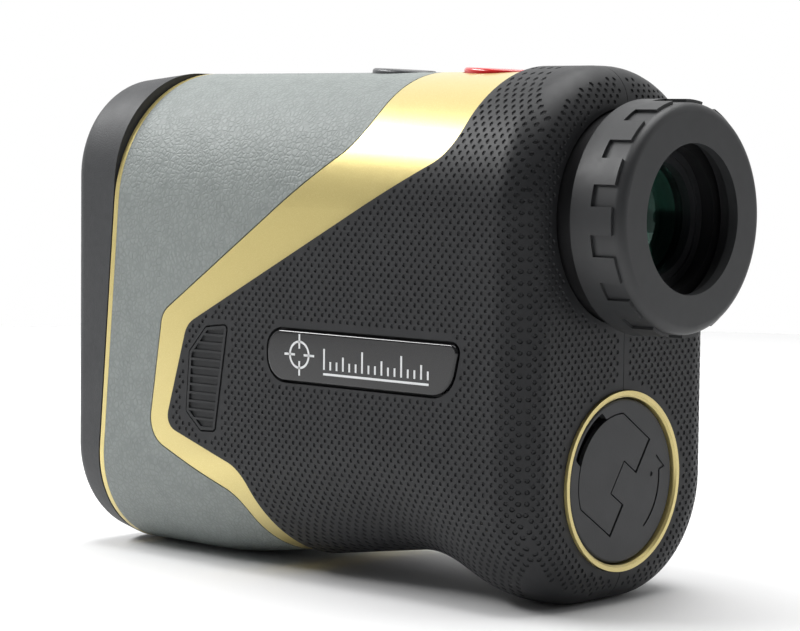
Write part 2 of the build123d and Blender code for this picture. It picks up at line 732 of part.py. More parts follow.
with BuildPart() as laser_board:
    half_length, half_depth = laser_board_half
    block(
        (laser_x - half_length, -half_depth, laser_board_z),
        (laser_x + half_length, half_depth, laser_board_z + board_thick))
keep(laser_board, "laser_board")

# ---- Main board, its chips, screws and flexible lead ---------------------------------------------
board_front, board_rear = main_board_span
board_low, board_high = main_board_height
with BuildPart() as main_board:
    block((board_front, main_board_y, board_low), (board_rear, main_board_y + board_thick, board_high))
    fillet(main_board.edges().filter_by(Axis.Y), 1.5)
    for x, z in main_board_screws:
        with Locations(Location((x, main_board_y, z), (90, 0, 0))):
            Cylinder(screw_clear_radius, 4, mode=Mode.SUBTRACT)
keep(main_board, "main_board")

with BuildPart() as board_chips:
    chip_y = main_board_y + board_thick
    for x, z, width, height in chips:
        block((x - width / 2, chip_y, z - height / 2), (x + width / 2, chip_y + chip_thick, z + height / 2))
keep(board_chips, "board_chips")

with BuildPart() as board_screws:
    for x, z in main_board_screws:
        with Locations(Location((x, main_board_y + board_thick, z), (-90, 0, 0))):
            add(screw(main_board_screw_length))
    for x, y in board_boss_places:
        with Locations(Location((x, y, button_board_z), (180, 0, 0))):
            add(screw(button_board_screw_length))
keep(board_screws, "board_screws")

flex_low = (main_board_y - flex_thick, board_high - 2)
flex_high = (button_board_size[1] / 2 + 0.9, button_board_z + board_thick / 2)
flex_turn = (flex_high[0] + 2.0, flex_high[1] - 3.1)
with BuildPart() as flex_cable:
    with BuildSketch(Plane.YZ.offset(-flex_width / 2)):
        with BuildLine() as run:
            FilletPolyline(flex_low, (main_board_y - flex_thick, board_high + 8.5), flex_turn, flex_high, radius=3.0)
        trace(run.line, line_width=flex_thick)
    extrude(amount=flex_width)
keep(flex_cable, "flex_cable")

# ---- Buttons, their seal, switches and board -----------------------------------------------------
board_length, board_width = button_board_size
with BuildPart() as button_board:
    block(
        (button_board_x - board_length / 2, -board_width / 2, button_board_z),
        (button_board_x + board_length / 2, board_width / 2, button_board_z + board_thick - fit))
    fillet(button_board.edges().filter_by(Axis.Z), 2)
    for x, y in board_boss_places:
        with Locations((x, y, button_board_z)):
            Cylinder(screw_clear_radius, 4, mode=Mode.SUBTRACT)
keep(button_board, "button_board")

switch_z = button_board_z + board_thick
with BuildPart() as tact_switches:
    for x in (fire_button_x, mode_button_x):
        with Locations((x, 0, switch_z)):
            Box(*switch_size, align=on_base)
            Cylinder(plunger_radius, switch_size[2] + plunger_height, align=on_base)
keep(tact_switches, "tact_switches")

seal_z = switch_z + switch_size[2] + plunger_height + fit
nub_top_z = flange_top_z - flange_thick - button_travel - 0.05
with BuildPart() as button_seal:
    block(
        (mode_button_x - 6, -4.2, seal_z), (fire_button_x + 6, 4.2, seal_z + seal_sheet))
    fillet(button_seal.edges().filter_by(Axis.Z), 2)
    for x in (fire_button_x, mode_button_x):
        with Locations((x, 0, seal_z)):
            Cylinder(seal_nub_radius, nub_top_z - seal_z, align=on_base)
keep(button_seal, "button_seal")


def push_button(centre_x, size):
    """Oval push button: a sloped crown, a stem through the covers and a flange under the housing."""
    crown_front_z = top_z - grip_step + button_rise_front
    crown_rear_z = top_z - grip_step + button_rise_rear
    front, rear = centre_x - size[0] / 2, centre_x + size[0] / 2
    flange_z = flange_top_z - flange_thick
    with BuildPart() as button:
        with BuildSketch(Plane.XY.offset(flange_z)):
            with Locations((centre_x, 0)):
                Ellipse(size[0] / 2, size[1] / 2)
        extrude(amount=crown_front_z + 1 - flange_z)
        with BuildSketch(Plane.XZ):
            with BuildLine():
                Polyline(
                    (front - 1, crown_front_z), (rear + 1, crown_rear_z), (rear + 1, crown_front_z + 5),
                    (front - 1, crown_front_z + 5), close=True)
            make_face()
        extrude(amount=size[1], both=True, mode=Mode.SUBTRACT)
        fillet(button.faces().sort_by(Axis.Z)[-1].edges(), 0.5)
        with BuildSketch(Plane.XY.offset(flange_z)):
            with Locations((centre_x, 0)):
                Ellipse(size[0] / 2 + flange_rim, size[1] / 2 + flange_rim)
        extrude(amount=flange_thick)
    return button


fire_button = push_button(fire_button_x, fire_button_size)
keep(fire_button, "fire_button")
mode_button = push_button(mode_button_x, mode_button_size)
keep(mode_button, "mode_button")

# ---- Battery, its tube, spring and trim ring -----------------------------------------------------
tube_bore = battery_radius + battery_play
tube_radius = tube_bore + battery_wall
seat_x = rear_x - shell_inset
with BuildPart() as battery_tube:
    bar(battery_axis_z, battery_tube_front_x, bulkhead_rear_x, tube_radius)
    bar(battery_axis_z, mouth_front_x - 1, seat_x + 0.05, mouth_radius + battery_wall)
    bar(battery_axis_z, bulkhead_rear_x + bulkhead_rear_thick + fit, seat_x + 0.05, cap_ring_inner - 0.1)
    bar(battery_axis_z, battery_tube_front_x + 1.2, 60, tube_bore, mode=Mode.SUBTRACT)
    bar(battery_axis_z, mouth_front_x, 60, mouth_radius, mode=Mode.SUBTRACT)
keep(battery_tube, "battery_tube")

with BuildPart() as battery:
    bar(battery_axis_z, battery_front_x, battery_front_x + battery_length - 1.0, battery_radius)
    fillet(battery.edges(), 0.6)
    battery_rear_x = battery_front_x + battery_length
    bar(battery_axis_z, battery_rear_x - 1.2, battery_rear_x, battery_button_radius)
keep(battery, "battery")

spring_start = battery_tube_front_x + 1.2 + 0.35
spring_length = battery_front_x - spring_start - 0.4
with BuildPart() as battery_spring:
    with BuildLine() as coil:
        Helix(
            spring_length / spring_turns, spring_length, spring_radius,
            center=(spring_start, 0, battery_axis_z), direction=(1, 0, 0))
    with BuildSketch(Plane(origin=coil.line @ 0, z_dir=coil.line % 0)):
        Circle(spring_wire_radius)
    sweep(is_frenet=True)
keep(battery_spring, "battery_spring")

with BuildPart() as battery_ring:
    bar(battery_axis_z, seat_x + 0.1, rear_x + cap_ring_proud, cap_ring_radius)
    bar(battery_axis_z, seat_x - 1, rear_x + 5, cap_ring_inner, mode=Mode.SUBTRACT)
    rear_edges = battery_ring.edges().filter_by(GeomType.CIRCLE).group_by(Axis.X)[-1]
    chamfer(rear_edges.sort_by(SortBy.LENGTH)[0], 0.3)
keep(battery_ring, "battery_ring")

# ---- Battery cap with its folding finger flap ----------------------------------------------------
hinge_turn = radians(hinge_angle)
cap_n = (0, sin(hinge_turn), -cos(hinge_turn))
cap_s = (0, cos(hinge_turn), sin(hinge_turn))


def cap_plane(x):
    """Plane across the cap at x, with its own x across the flap's hinge and its y along it."""
    return Plane(origin=(x, 0, battery_axis_z), x_dir=cap_n, z_dir=(1, 0, 0))


def flap_outline(x, growth, ear_growth):
    """The flap's outline: a disc cut straight at both ends and at the ears, less the middle notch."""
    lower, upper = flap_lower_s - growth, flap_upper_s + growth
    reach = flap_reach + ear_growth
    with BuildSketch(cap_plane(x)) as outline:
        Circle(flap_radius + growth)
        with Locations(((reach - 20) / 2, (lower + upper) / 2)):
            Rectangle(reach + 20, upper - lower, mode=Mode.INTERSECT)
        notch_half = flap_notch_s - growth
        with Locations((flap_notch_n + growth + 10, 0)):
            Rectangle(20, 2 * notch_half, mode=Mode.SUBTRACT)
    return outline.sketch


def hinge_bar(radius, low_s, high_s, mode=Mode.ADD):
    """Round bar along the flap's hinge line between two places on it."""
    middle = (low_s + high_s) / 2
    hinge_x = cap_face_x - hinge_depth
    place = Plane(
        origin=(
            hinge_x, cap_n[1] * hinge_n + cap_s[1] * middle,
            battery_axis_z + cap_n[2] * hinge_n + cap_s[2] * middle),
        x_dir=(1, 0, 0), z_dir=cap_s)
    with Locations(place.location):
        Cylinder(radius, high_s - low_s, mode=mode)


ear_spans = ((flap_notch_s, flap_upper_s), (flap_lower_s, -flap_notch_s))
pocket_floor_x = cap_face_x - flap_thick - 0.3
with BuildPart() as cap_body:
    bar(battery_axis_z, seat_x + 0.3, cap_face_x, cap_radius)
    fillet(cap_body.edges().group_by(Axis.X)[-1], 0.4)
    bar(battery_axis_z, cap_inner_x, seat_x + 0.5, cap_spigot_radius)
    bar(battery_axis_z, cap_skirt_front_x, cap_inner_x, cap_spigot_radius)
    bar(battery_axis_z, cap_skirt_front_x - 1, cap_inner_x, tube_bore + 0.2, mode=Mode.SUBTRACT)
    groove_end_x = seal_groove_x + seal_groove_width
    bar(battery_axis_z, seal_groove_x, groove_end_x, cap_spigot_radius + 1, mode=Mode.SUBTRACT)
    bar(battery_axis_z, seal_groove_x, groove_end_x, cap_spigot_radius - seal_groove_depth)
    extrude(flap_outline(pocket_floor_x, flap_gap, flap_end_gap), amount=4, mode=Mode.SUBTRACT)
    for low_s, high_s in ear_spans:
        hinge_bar(1.3, low_s - flap_gap, high_s + flap_gap, mode=Mode.SUBTRACT)
    hinge_bar(pin_radius + 0.03, -flap_notch_s - 1, flap_notch_s + 1, mode=Mode.SUBTRACT)
    with BuildSketch(cap_plane(pocket_floor_x)):
        with Locations(finger_place):
            Circle(finger_radius)
        Circle(cap_radius - 0.7, mode=Mode.INTERSECT)
    extrude(amount=4, mode=Mode.SUBTRACT)
    with BuildSketch(Plane(
            origin=(cap_face_x - mark_depth, 0, battery_axis_z), x_dir=(0, 1, 0), z_dir=(1, 0, 0))):
        with BuildLine() as shaft:
            CenterArc((0, 0), arrow_radius, arrow_span[0], arrow_span[1] - arrow_span[0])
        trace(shaft.line, line_width=arrow_width)
        with BuildLine() as head:
            Polyline(shaft.line @ 1, arrow_barb, arrow_tip)
        trace(head.line, line_width=arrow_width)
        with Locations(arrow_dot):
            Circle(arrow_width)
    extrude(amount=1, mode=Mode.SUBTRACT)
keep(cap_body, "cap_body")

with BuildPart() as cap_flap:
    extrude(flap_outline(cap_face_x - flap_thick, 0, 0), amount=flap_thick)
    with BuildSketch(cap_plane(cap_face_x - flap_thick)):
        with Locations((hinge_n + 5, 0)):
            Rectangle(10, 2 * flap_radius)
    extrude(amount=flap_thick - hinge_depth, mode=Mode.SUBTRACT)
    for low_s, high_s in ear_spans:
        hinge_bar(flap_reach - hinge_n, low_s, high_s)
    hinge_bar(pin_radius + 0.03, -flap_radius, flap_radius, mode=Mode.SUBTRACT)
    with BuildSketch(cap_plane(cap_face_x - flap_thick)):
        with Locations((finger_place[0] - 2.2, finger_place[1])):
            Circle(finger_radius)
    extrude(amount=flap_thick - 0.7, mode=Mode.SUBTRACT)
keep(cap_flap, "cap_flap")

with BuildPart() as cap_hinge_pin:
    hinge_bar(pin_radius, flap_lower_s + 0.4, flap_upper_s - 0.4)
keep(cap_hinge_pin, "cap_hinge_pin")

with BuildPart() as cap_seal:
    seal_section = seal_groove_width / 2 - fit
    with Locations(Location((seal_groove_x + seal_groove_width / 2, 0, battery_axis_z), (0, 90, 0))):
        Torus(cap_spigot_radius - seal_groove_depth + seal_section + 0.01, seal_section)
keep(cap_seal, "cap_seal")

with BuildPart() as cap_contact:
    contact_x = battery_front_x + battery_length + 0.15
    bar(battery_axis_z, contact_x, cap_inner_x - 0.02, cap_contact_radius)
    bar(battery_axis_z, contact_x - 1, contact_x + 0.5, battery_button_radius + 0.3, mode=Mode.SUBTRACT)
keep(cap_contact, "cap_contact")
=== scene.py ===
"""A golf laser rangefinder, dressed piece by piece over its fixed frame. All sizes are in metres."""
import math

import bpy
from mathutils import Matrix, Vector, interpolate
from mathutils.bvhtree import BVHTree


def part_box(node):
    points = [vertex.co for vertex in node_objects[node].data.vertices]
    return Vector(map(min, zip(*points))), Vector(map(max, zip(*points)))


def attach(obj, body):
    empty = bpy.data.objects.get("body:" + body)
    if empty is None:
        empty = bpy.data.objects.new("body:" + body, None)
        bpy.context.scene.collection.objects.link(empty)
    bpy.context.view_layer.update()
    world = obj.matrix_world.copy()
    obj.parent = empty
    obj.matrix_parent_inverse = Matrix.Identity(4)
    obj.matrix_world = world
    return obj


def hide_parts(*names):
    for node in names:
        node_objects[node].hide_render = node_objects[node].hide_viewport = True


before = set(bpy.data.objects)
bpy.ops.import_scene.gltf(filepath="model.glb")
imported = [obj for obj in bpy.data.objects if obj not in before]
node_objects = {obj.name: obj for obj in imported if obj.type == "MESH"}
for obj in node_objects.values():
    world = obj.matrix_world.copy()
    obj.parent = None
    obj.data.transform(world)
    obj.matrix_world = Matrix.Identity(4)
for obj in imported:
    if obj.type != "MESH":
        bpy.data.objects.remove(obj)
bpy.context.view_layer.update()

# ---- Camera --------------------------------------------------------------------------------------
# A long lens on a tripod, a little above the eyepiece's height, behind the object's left side.
camera_turn = math.radians(42.75)
camera_rise = math.radians(4.32)
camera_roll = math.radians(0.53)
camera_place = (0.26335, -0.2860, 0.0676)
camera_lens = 117
camera_near = 0.01
toward_camera = Vector((
    math.sin(camera_turn) * math.cos(camera_rise),
    -math.cos(camera_turn) * math.cos(camera_rise),
    math.sin(camera_rise),
))
level = Vector((math.cos(camera_turn), math.sin(camera_turn), 0))
upward = toward_camera.cross(level)
across = math.cos(camera_roll) * level + math.sin(camera_roll) * upward
above = math.cos(camera_roll) * upward - math.sin(camera_roll) * level
camera = bpy.data.objects.new("camera", bpy.data.cameras.new("camera"))
camera.data.lens = camera_lens
camera.data.clip_start = camera_near
camera_frame = Matrix((across, above, toward_camera)).transposed().to_4x4()
camera.matrix_world = Matrix.Translation(camera_place) @ camera_frame
bpy.context.scene.collection.objects.link(camera)
bpy.context.scene.camera = camera
bpy.context.scene.view_settings.view_transform = "Standard"


# ---- Studio --------------------------------------------------------------------------------------
# A round pale floor under a sky that is bright on the far side, lit by a strip along the body's left
# shoulder, a broad box overhead and a weak rim light. The sky itself looks plain white.
# A finish is a Principled shader with the nodes that vary it over the surface.
class Value:
    """One output socket of a finish's nodes, so that node maths reads as arithmetic."""

    def __init__(self, finish, socket):
        self.finish, self.socket = finish, socket

    def maths(self, operation, *values):
        return self.finish.node("ShaderNodeMath", {"operation": operation}, *values)

    def __add__(self, other):
        return self.maths("ADD", self, other)

    def __radd__(self, other):
        return self.maths("ADD", other, self)

    def __mul__(self, other):
        return self.maths("MULTIPLY", self, other)

    def __rmul__(self, other):
        return self.maths("MULTIPLY", other, self)

    def above(self, edge, softness):
        """0 below an edge and 1 above it, with a soft step between."""
        return self.finish.node(
            "ShaderNodeMapRange", {"interpolation_type": "SMOOTHSTEP"},
            self, edge - softness, edge + softness, 0.0, 1.0)


class Finish:
    """One procedural material."""

    def __init__(self, name, base_color, roughness, **constants):
        self.material = bpy.data.materials.new(name)
        self.material.use_nodes = True
        self.tree = self.material.node_tree
        self.shader = self.tree.nodes["Principled BSDF"]
        self.set("Base Color", base_color)
        self.set("Roughness", roughness)
        for socket, value in constants.items():
            self.set(socket.replace("_", " "), value)

    def feed(self, entry, value):
        """Link a value into a socket, or set the socket to a constant."""
        if isinstance(value, Value):
            self.tree.links.new(value.socket, entry)
        elif entry.type == "RGBA":
            entry.default_value = (*value, 1)
        else:
            entry.default_value = value

    def set(self, socket, value):
        self.feed(self.shader.inputs[socket], value)

    def node(self, kind, settings=None, *values, output=0, **named):
        """Add a node, feed its sockets in order or by name, and give one of its outputs."""
        made = self.tree.nodes.new(kind)
        for setting, value in (settings or {}).items():
            setattr(made, setting, value)
        for entry, value in zip(made.inputs, values):
            self.feed(entry, value)
        for entry, value in named.items():
            self.feed(made.inputs[entry.replace("_", " ")], value)
        return Value(self, made.outputs[output])

    def place(self, stretch=(1, 1, 1)):
        """Object coordinates, stretched."""
        at = self.node("ShaderNodeTexCoord", output="Object")
        return self.node("ShaderNodeMapping", Vector=at, Scale=stretch)

    def noise(self, scale, detail=3.0, stretch=(1, 1, 1)):
        """Smooth noise, with its waves to the metre."""
        return self.node(
            "ShaderNodeTexNoise", Vector=self.place(stretch=stretch), Scale=scale, Detail=detail)

    def cells(self, scale, feature="F1"):
        """Distance to the nearest cell's middle or to its edge."""
        return self.node("ShaderNodeTexVoronoi", {"feature": feature}, Vector=self.place(), Scale=scale)

    def along(self, axis):
        """One Object coordinate, in metres."""
        at = self.node("ShaderNodeTexCoord", output="Object")
        return self.node("ShaderNodeSeparateXYZ", Vector=at, output="XYZ".index(axis))

    def mix(self, share, low, high):
        """From one colour to another."""
        made = self.tree.nodes.new("ShaderNodeMix")
        made.data_type = "RGBA"
        for entry, value in zip((made.inputs[0], made.inputs[6], made.inputs[7]), (share, low, high)):
            self.feed(entry, value)
        return Value(self, made.outputs[2])

    def relief(self, height, depth, strength=1.0):
        """Surface relief from a height of 0 to 1 and its depth in metres."""
        self.set("Normal", self.node("ShaderNodeBump", Strength=strength, Distance=depth, Height=height))


def dress(finish, *names):
    """Give frame nodes one finish."""
    for name in names:
        mesh = node_objects[name].data
        mesh.materials.clear()
        mesh.materials.append(finish.material)


def soft_box(name, place, aim, width, height, power):
    """A rectangular studio light turned towards a point."""
    lamp = bpy.data.lights.new(name, "AREA")
    lamp.shape = "RECTANGLE"
    lamp.size = width
    lamp.size_y = height
    lamp.energy = power
    lit = bpy.data.objects.new(name, lamp)
    lit.location = place
    lit.rotation_euler = (Vector(aim) - Vector(place)).to_track_quat("-Z", "Y").to_euler()
    bpy.context.scene.collection.objects.link(lit)


soft_box("shoulder_strip", (-0.37, -0.20, 0.40), (0, -0.02, 0.066), 0.40, 0.09, 2.4)
soft_box("overhead_box", (0.02, 0.08, 0.60), (0, 0, 0.05), 0.50, 0.50, 3.8)
soft_box("rear_box", (0.50, 0.42, 0.30), (0.02, 0, 0.05), 0.20, 0.30, 0.3)

sky = bpy.data.worlds.new("pale_sky")
bpy.context.scene.world = sky
sky.use_nodes = True
near_side, far_side = (0.09, 0.09, 0.093, 1), (1.0, 1.0, 1.0, 1)
direction = sky.node_tree.nodes.new("ShaderNodeTexCoord")
facing = sky.node_tree.nodes.new("ShaderNodeVectorMath")
facing.operation = "DOT_PRODUCT"
facing.inputs[1].default_value = (-0.68, 0.73, 0.0)
fade = sky.node_tree.nodes.new("ShaderNodeMapRange")
fade.inputs["From Min"].default_value = -0.15
fade.inputs["From Max"].default_value = 0.75
shade = sky.node_tree.nodes.new("ShaderNodeMix")
shade.data_type = "RGBA"
shade.inputs[6].default_value = near_side
shade.inputs[7].default_value = far_side
sky.node_tree.links.new(direction.outputs["Generated"], facing.inputs[0])
sky.node_tree.links.new(facing.outputs["Value"], fade.inputs["Value"])
sky.node_tree.links.new(fade.outputs["Result"], shade.inputs[0])
seen = sky.node_tree.nodes.new("ShaderNodeLightPath")
plain = sky.node_tree.nodes.new("ShaderNodeMix")
plain.data_type = "RGBA"
plain.inputs[7].default_value = far_side
sky.node_tree.links.new(shade.outputs[2], plain.inputs[6])
sky.node_tree.links.new(seen.outputs["Is Camera Ray"], plain.inputs[0])
sky.node_tree.links.new(plain.outputs[2], sky.node_tree.nodes["Background"].inputs["Color"])

floor_radius = 0.46
floor_steps = 96
floor_paper = Finish("floor_paper", (0.88, 0.88, 0.88), 0.9, Specular_IOR_Level=0.1)
floor_paper.set("Base Color", floor_paper.mix(
    floor_paper.noise(40), (0.88, 0.88, 0.88), (0.89, 0.89, 0.89)))
floor_mesh = bpy.data.meshes.new("floor")
floor_turns = [2 * math.pi * step / floor_steps for step in range(floor_steps)]
floor_mesh.from_pydata(
    [(floor_radius * math.cos(turn), floor_radius * math.sin(turn), 0) for turn in floor_turns],
    [], [tuple(range(floor_steps))])
floor_mesh.materials.append(floor_paper.material)
floor = bpy.data.objects.new("floor", floor_mesh)
bpy.context.scene.collection.objects.link(floor)

# ---- Front bezel ---------------------------------------------------------------------------------
# The nose shell, moulded in dark grey plastic with a fine spark texture and screwed to the chassis
# from inside.
bezel_plastic = Finish("bezel_plastic", (0.05, 0.05, 0.055), 0.5, Specular_IOR_Level=0.35)
bezel_plastic.relief(bezel_plastic.noise(4200, 4), 0.00010, 0.5)
bezel_plastic.set("Roughness", 0.42 + 0.2 * bezel_plastic.noise(160))
bezel_plastic.set("Base Color", bezel_plastic.mix(
    bezel_plastic.noise(900), (0.026, 0.027, 0.029), (0.042, 0.044, 0.047)))
dress(bezel_plastic, "front_bezel")

# ---- Gold trim ring, accent band and battery ring ------------------------------------------------
# Two plastic mouldings and one turned ring, all under the same satin gold lacquer.
gold = Finish("satin_gold", (0.6, 0.5, 0.2), 0.3, Metallic=0.55, Coat_Weight=0.5, Coat_Roughness=0.18)
gold.set("Base Color", gold.mix(gold.cells(7000), (0.68, 0.55, 0.20), (0.76, 0.64, 0.27)))
gold.set("Roughness", 0.30 + 0.10 * gold.noise(900, 4))
gold.relief(gold.noise(1500, 2), 0.00002, 0.4)
dress(gold, "front_trim_ring", "accent_band", "battery_ring")

# ---- Front sleeve --------------------------------------------------------------------------------
# Grey leatherette bonded round the front of the housing, with a fine pebbled grain whose creases are
# painted darker as shade.
leatherette = Finish("grey_leatherette", (0.3, 0.3, 0.3), 0.55)
pebble = leatherette.cells(1250, "DISTANCE_TO_EDGE")
crease = (pebble * 4.0).above(0.5, 0.5)
grain = crease * 0.65 + leatherette.noise(2300, 4) * 0.35
leatherette.relief(grain, 0.00016, 0.55)
# The colour mixes random tone with painted shade: it is darker in the creases between the pebbles.
tone_and_crease_shade = leatherette.noise(420, 5) * 0.7 + crease * 0.3
leatherette.set("Base Color", leatherette.mix(tone_and_crease_shade, (0.175, 0.196, 0.188), (0.275, 0.302, 0.292)))
leatherette.set("Roughness", 0.46 + 0.2 * leatherette.noise(500))
dress(leatherette, "front_sleeve")

# ---- Rubber grips --------------------------------------------------------------------------------
# Left and right halves moulded in black rubber, with small dimples in a net of smooth ridges over
# the side and the rear. They are pressed straight in from those two sides, as the mould opens.
dimple_pitch = (0.00143, 0.00157)
dimple_half = (0.00042, 0.00045)
dimple_depth = 0.00018
dimple_lift = 0.00010
dimple_floor = 0.5
dimple_border = 0.00112
dimple_seam = 0.0009
dimple_long_below = 0.5
field_points = 86
field_middle = (0.006, 0, 0.038)
ray_length = 0.2
weld_gap = 1e-7
surface_gap = 0.00001
surface_turn = 0.96
corner_inset = 0.03

grip_rubber = Finish("grip_rubber", (0.02, 0.02, 0.02), 0.5, Specular_IOR_Level=0.32)
grip_rubber.set("Roughness", 0.42 + 0.16 * grip_rubber.noise(700, 4))
grip_rubber.set("Base Color", grip_rubber.mix(
    grip_rubber.noise(350), (0.016, 0.0165, 0.018), (0.026, 0.027, 0.029)))
grip_rubber.relief(grip_rubber.noise(6000), 0.00003, 0.4)


class Shaping:
    """One Geometry Nodes tree, built in order."""

    def __init__(self, name, **inputs):
        self.tree = bpy.data.node_groups.new(name, "GeometryNodeTree")
        self.tree.interface.new_socket("Geometry", in_out="OUTPUT", socket_type="NodeSocketGeometry")
        kinds = {
            float: "NodeSocketFloat",
            bpy.types.Object: "NodeSocketObject",
            bpy.types.Material: "NodeSocketMaterial",
        }
        self.given = {}
        for label, value in inputs.items():
            kind = next(name for sort, name in kinds.items() if isinstance(value, sort))
            entry = self.tree.interface.new_socket(label, in_out="INPUT", socket_type=kind)
            self.given[entry.identifier] = value
        self.entries = self.tree.nodes.new("NodeGroupInput")

    def __getitem__(self, label):
        return self.entries.outputs[label]

    def node(self, kind, settings=None, *values, output=0, **named):
        """Add a node, feed its sockets in order or by name, and give one of its outputs."""
        made = self.tree.nodes.new(kind)
        for setting, value in (settings or {}).items():
            setattr(made, setting, value)
        by_name = [(made.inputs[label.replace("_", " ")], value) for label, value in named.items()]
        for entry, value in list(zip([e for e in made.inputs if e.enabled], values)) + by_name:
            for one in value if isinstance(value, list) else [value]:
                if isinstance(one, bpy.types.NodeSocket):
                    self.tree.links.new(one, entry)
                else:
                    entry.default_value = one
        return made.outputs[output]

    def maths(self, operation, *values):
        return self.node("ShaderNodeMath", {"operation": operation}, *values)

    def vector(self, operation, *values, output=0):
        return self.node("ShaderNodeVectorMath", {"operation": operation}, *values, output=output)

    def mesh(self, name, geometry, material):
        """Close the tree, run it once on an empty mesh, and give the result as a plain mesh."""
        realized = self.node("GeometryNodeRealizeInstances", {}, geometry)
        finished = self.node("GeometryNodeSetMaterial", {}, realized)
        self.tree.links.new(material, finished.node.inputs["Material"])
        self.tree.links.new(finished, self.tree.nodes.new("NodeGroupOutput").inputs[0])
        holder = bpy.data.objects.new(name, bpy.data.meshes.new(name))
        bpy.context.scene.collection.objects.link(holder)
        modifier = holder.modifiers.new("shaping", "NODES")
        modifier.node_group = self.tree
        for identifier, value in self.given.items():
            modifier[identifier] = value
        made = bpy.data.meshes.new_from_object(holder.evaluated_get(bpy.context.evaluated_depsgraph_get()))
        holder.modifiers.remove(modifier)
        bpy.data.objects.remove(holder)
        return made


net = Shaping(
    "pressed_dimples", Rubber=node_objects["left_grip"], Finish=grip_rubber.material,
    Depth=dimple_depth, Lift=dimple_lift, Floor=dimple_floor, Border=dimple_border, Seam=dimple_seam)
rubber = net.node("GeometryNodeObjectInfo", {}, net["Rubber"], output=4)
neighbours = [
    net.node("GeometryNodeObjectInfo", {}, node_objects[name], output=4)
    for name in ("accent_band", "left_name_badge", "left_grip_insert", "battery_ring", "eyepiece_tube")]
neighbours = net.node("GeometryNodeJoinGeometry", {}, neighbours)


def dimple_cutters(turn, start, ray, keep):
    """Small cutters over one face of the grip, dropped onto the rubber along a ray."""
    def drop():
        """Where the ray through each point of the field meets the rubber."""
        position = net.node("GeometryNodeInputPosition")
        source = net.vector("ADD", net.vector("MULTIPLY", position, tuple(1 - abs(r) for r in ray)), start)
        cast = net.node(
            "GeometryNodeRaycast", {"data_type": "FLOAT"}, Target_Geometry=rubber,
            Source_Position=source, Ray_Direction=ray, Ray_Length=ray_length)
        return cast.node.outputs

    lattice = net.node("GeometryNodeMeshGrid", {}, 1.0, 1.0, field_points, field_points)
    lattice = net.node("GeometryNodeTransform", {}, lattice, Rotation=(0, 0, math.pi / 4))
    reach = (field_points - 1) / math.sqrt(2)
    stretch = (dimple_pitch[0] * reach, dimple_pitch[1] * reach, 1)
    lattice = net.node("GeometryNodeTransform", {}, lattice, Scale=stretch)
    lattice = net.node("GeometryNodeTransform", {}, lattice, Rotation=turn)
    lattice = net.node("GeometryNodeTransform", {}, lattice, Translation=field_middle)
    met = drop()
    gap = net.node("GeometryNodeProximity", {"target_element": "FACES"}, neighbours, output=1)
    gap.node.inputs["Sample Position"].default_value = (0, 0, 0)
    net.tree.links.new(met["Hit Position"], gap.node.inputs["Sample Position"])
    normal = net.node("ShaderNodeSeparateXYZ", {}, met["Hit Normal"])
    place = net.node("ShaderNodeSeparateXYZ", {}, met["Hit Position"])
    wanted = [
        net.maths("GREATER_THAN", gap, net["Border"]),
        net.maths("LESS_THAN", place.node.outputs["Y"], net.maths("MULTIPLY", net["Seam"], -1.0)),
    ]
    for axis, sign, limit in keep["normal"]:
        facing = net.maths("MULTIPLY", normal.node.outputs[axis], sign)
        wanted.append(net.maths("GREATER_THAN", facing, limit))
    wanted.append(net.maths("GREATER_THAN", place.node.outputs["X"], keep["behind"]))
    kept = met["Is Hit"]
    for condition in wanted:
        kept = net.maths("MULTIPLY", kept, condition)
    lattice = net.node(
        "GeometryNodeStoreNamedAttribute", {"data_type": "FLOAT_VECTOR", "domain": "POINT"}, lattice,
        Name="outward", Value=met["Hit Normal"])
    lattice = net.node(
        "GeometryNodeDeleteGeometry", {"domain": "POINT"}, lattice, net.maths("LESS_THAN", kept, 0.5))
    outward = net.node("GeometryNodeInputNamedAttribute", {"data_type": "FLOAT_VECTOR"}, "outward")
    steepness = net.maths("ABSOLUTE", net.vector("DOT_PRODUCT", outward, ray, output=1))
    flatter = net.maths("MINIMUM", net.maths("DIVIDE", steepness, dimple_long_below), 1.0)
    squeeze = net.node("ShaderNodeCombineXYZ", {}, 1.0, 1.0, flatter)
    outline = net.node("GeometryNodeMeshCircle", {"fill_type": "NGON"}, 6, 1.0)
    outline = net.node("GeometryNodeTransform", {}, outline, Scale=(*dimple_half, 1))
    outline = net.node("GeometryNodeTransform", {}, outline, Rotation=turn)
    cells = net.node("GeometryNodeInstanceOnPoints", {}, lattice, Instance=outline, Scale=squeeze)
    cells = net.node("GeometryNodeRealizeInstances", {}, cells)
    met = drop()
    cells = net.node("GeometryNodeSetPosition", {}, cells, Position=met["Hit Position"])
    lifted = net.node(
        "GeometryNodeSetPosition", {}, cells,
        Offset=net.node("ShaderNodeVectorMath", {"operation": "SCALE"}, outward, Scale=net["Lift"]))
    pressed = net.node(
        "GeometryNodeExtrudeMesh", {"mode": "FACES"}, lifted, Offset_Scale=0.0, Individual=True)
    sunk = net.node("ShaderNodeVectorMath", {"operation": "SCALE"}, outward, Scale=net.maths(
        "MULTIPLY", net.maths("ADD", net["Depth"], net["Lift"]), -1.0))
    bottom = pressed.node.outputs["Top"]
    pressed = net.node("GeometryNodeSetPosition", {}, pressed, bottom, Offset=sunk)
    pressed = net.node("GeometryNodeScaleElements", {"domain": "FACE"}, pressed, bottom, net["Floor"])
    lid = net.node("GeometryNodeFlipFaces", {}, lifted)
    cutters = net.node("GeometryNodeJoinGeometry", {}, [pressed, lid])
    return net.node("GeometryNodeMergeByDistance", {}, cutters, Distance=weld_gap)


